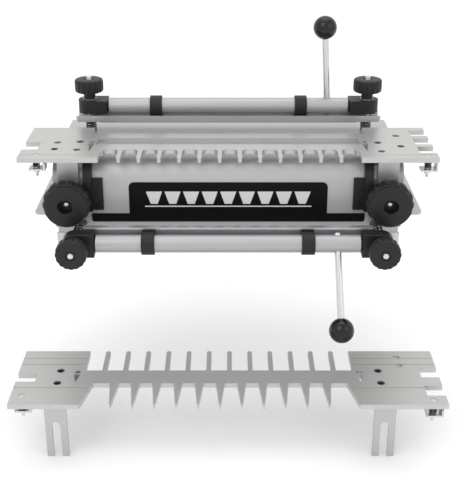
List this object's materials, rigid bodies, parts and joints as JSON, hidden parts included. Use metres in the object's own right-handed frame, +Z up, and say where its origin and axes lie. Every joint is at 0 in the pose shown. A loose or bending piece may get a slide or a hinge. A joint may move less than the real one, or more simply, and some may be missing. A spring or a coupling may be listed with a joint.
{
  "type": "dovetail jig",
  "caption": "Bench-mounted dovetail jig: bent sheet base, two cam clamps, a half-blind comb template on forked brackets and a spare through template.",
  "frame": {"origin": "centre of the four bench bolt holes, on the underside of the feet", "axes": "+X to the right along the jig's length, +Y to the back, +Z up"},
  "size_m": [0.529, 0.403, 0.4861],
  "materials": {
    "sheet_grey": "satin grey paint",
    "black_moulding": "moulded black nylon",
    "label_black": "satin black",
    "template_aluminium": "brushed and clear anodised",
    "bar_aluminium": "mill finish",
    "tube_aluminium": "drawn",
    "grip_black": "coarse non-slip",
    "ball_black": "polished phenolic",
    "black_steel": "black oxide",
    "zinc_steel": "zinc plated"
  },
  "bodies": {
    "base": {"base_shell": "sheet_grey", "left_end_plate": "sheet_grey", "right_end_plate": "sheet_grey", "left_edge_stop": "black_moulding", "right_edge_stop": "black_moulding", "edge_stop_screws": "black_steel", "label_plate": "label_black", "top_clamp_studs": "zinc_steel", "front_clamp_studs": "zinc_steel", "template_studs": "zinc_steel", "stud_nuts": "zinc_steel", "top_springs": "black_steel", "front_springs": "black_steel"},
    "top_clamp": {"top_end_blocks": "black_moulding", "top_knob_washers": "zinc_steel"},
    "top_cam": {"top_cam_tube": "tube_aluminium", "top_cam_journals": "zinc_steel", "top_lever_rod": "zinc_steel", "top_lever_ball": "ball_black"},
    "top_bar": {"top_pressure_bar": "bar_aluminium", "top_grip_strip": "grip_black", "top_tube_clips": "black_moulding"},
    "top_left_knob": {"top_left_knob": "black_moulding"},
    "top_right_knob": {"top_right_knob": "black_moulding"},
    "front_clamp": {"front_end_blocks": "black_moulding", "front_knob_washers": "zinc_steel"},
    "front_cam": {"front_cam_tube": "tube_aluminium", "front_cam_journals": "zinc_steel", "front_lever_rod": "zinc_steel", "front_lever_ball": "ball_black"},
    "front_bar": {"front_pressure_bar": "bar_aluminium", "front_grip_strip": "grip_black", "front_tube_clips": "black_moulding"},
    "front_left_knob": {"front_left_knob": "black_moulding"},
    "front_right_knob": {"front_right_knob": "black_moulding"},
    "left_template_washer": {"left_template_washer": "zinc_steel"},
    "left_template_knob": {"left_template_knob": "black_moulding"},
    "right_template_washer": {"right_template_washer": "zinc_steel"},
    "right_template_knob": {"right_template_knob": "black_moulding"},
    "half_blind_template": {"half_blind_plate": "template_aluminium", "half_blind_left_bracket": "bar_aluminium", "half_blind_right_bracket": "bar_aluminium", "half_blind_screws": "black_steel", "half_blind_gauge_screws": "zinc_steel", "half_blind_gauge_springs": "black_steel"},
    "half_blind_left_gauge": {"half_blind_left_depth_gauge": "zinc_steel"},
    "half_blind_right_gauge": {"half_blind_right_depth_gauge": "zinc_steel"},
    "through_template": {"through_plate": "template_aluminium", "through_left_bracket": "bar_aluminium", "through_right_bracket": "bar_aluminium", "through_screws": "black_steel", "through_gauge_screws": "zinc_steel", "through_gauge_springs": "black_steel"},
    "through_left_gauge": {"through_left_depth_gauge": "zinc_steel"},
    "through_right_gauge": {"through_right_depth_gauge": "zinc_steel"}
  },
  "joints": [
    {"name": "top_left_knob_turn", "type": "hinge", "parent": "top_clamp", "child": "top_left_knob", "pos_m": [-0.192, 0.015, 0.124], "axis": [0, 0, 1], "range_deg": [-1441, 1441]},
    {"name": "top_right_knob_turn", "type": "hinge", "parent": "top_clamp", "child": "top_right_knob", "pos_m": [0.192, 0.015, 0.124], "axis": [0, 0, 1], "range_deg": [-1441, 1441]},
    {"name": "top_clamp_slide", "type": "slide", "parent": "base", "child": "top_clamp", "axis": [0, 0, 1], "range_m": [-0.005, 0.005], "deforming": ["top_springs"]},
    {"name": "top_lever_turn", "type": "hinge", "parent": "top_clamp", "child": "top_cam", "pos_m": [0, 0.0135, 0.124], "axis": [-1, 0, 0], "range_deg": [0, 90]},
    {"name": "top_bar_level", "type": "hinge", "parent": "top_cam", "child": "top_bar", "pos_m": [0, 0.015, 0.124], "axis": [-1, 0, 0], "range_deg": [-90.5, 0.5]},
    {"name": "front_left_knob_turn", "type": "hinge", "parent": "front_clamp", "child": "front_left_knob", "pos_m": [-0.192, -0.19, 0.005], "axis": [0, -1, 0], "range_deg": [-1441, 1441]},
    {"name": "front_right_knob_turn", "type": "hinge", "parent": "front_clamp", "child": "front_right_knob", "pos_m": [0.192, -0.19, 0.005], "axis": [0, -1, 0], "range_deg": [-1441, 1441]},
    {"name": "front_clamp_slide", "type": "slide", "parent": "base", "child": "front_clamp", "axis": [0, -1, 0], "range_m": [-0.005, 0.005], "deforming": ["front_springs"]},
    {"name": "front_lever_turn", "type": "hinge", "parent": "front_clamp", "child": "front_cam", "pos_m": [0, -0.1915, 0.005], "axis": [-1, 0, 0], "range_deg": [0, 75]},
    {"name": "front_bar_level", "type": "hinge", "parent": "front_cam", "child": "front_bar", "pos_m": [0, -0.19, 0.005], "axis": [-1, 0, 0], "range_deg": [-90.5, 0.5]},
    {"name": "left_template_knob_turn", "type": "hinge", "parent": "left_template_washer", "child": "left_template_knob", "pos_m": [-0.205, -0.1298, 0.044], "axis": [0, -1, 0], "range_deg": [-1, 1081]},
    {"name": "left_template_washer_slide", "type": "slide", "parent": "base", "child": "left_template_washer", "axis": [0, -1, 0], "range_m": [0, 0.00375]},
    {"name": "right_template_knob_turn", "type": "hinge", "parent": "right_template_washer", "child": "right_template_knob", "pos_m": [0.205, -0.1298, 0.044], "axis": [0, -1, 0], "range_deg": [-1, 1081]},
    {"name": "right_template_washer_slide", "type": "slide", "parent": "base", "child": "right_template_washer", "axis": [0, -1, 0], "range_m": [0, 0.00375]},
    {"name": "half_blind_template_lift", "type": "slide", "parent": "base", "child": "half_blind_template", "axis": [0, 0, 1], "range_m": [0, 0.055]},
    {"name": "through_template_away", "type": "slide", "parent": "base", "child": "through_template", "axis": [0, -1, 0], "range_m": [0, 0.1]},
    {"name": "half_blind_left_gauge_lift", "type": "slide", "parent": "half_blind_template", "child": "half_blind_left_gauge", "axis": [0, 0, 1], "range_m": [0, 0.003], "deforming": ["half_blind_gauge_springs"]},
    {"name": "half_blind_right_gauge_lift", "type": "slide", "parent": "half_blind_template", "child": "half_blind_right_gauge", "axis": [0, 0, 1], "range_m": [0, 0.003]},
    {"name": "through_left_gauge_lift", "type": "slide", "parent": "through_template", "child": "through_left_gauge", "axis": [0, 0, 1], "range_m": [0, 0.003], "deforming": ["through_gauge_springs"]},
    {"name": "through_right_gauge_lift", "type": "slide", "parent": "through_template", "child": "through_right_gauge", "axis": [0, 0, 1], "range_m": [0, 0.003]}
  ],
  "couplings": [
    {"joint": "top_left_knob_turn", "follows": "top_clamp_slide", "rad_per_m": 5026.5},
    {"joint": "top_right_knob_turn", "follows": "top_clamp_slide", "rad_per_m": 5026.5},
    {"joint": "top_bar_level", "follows": "top_lever_turn", "ratio": -1},
    {"joint": "front_left_knob_turn", "follows": "front_clamp_slide", "rad_per_m": 5026.5},
    {"joint": "front_right_knob_turn", "follows": "front_clamp_slide", "rad_per_m": 5026.5},
    {"joint": "front_bar_level", "follows": "front_lever_turn", "ratio": -1},
    {"joint": "left_template_knob_turn", "follows": "left_template_washer_slide", "rad_per_m": 5026.5},
    {"joint": "right_template_knob_turn", "follows": "right_template_washer_slide", "rad_per_m": 5026.5}
  ]
}
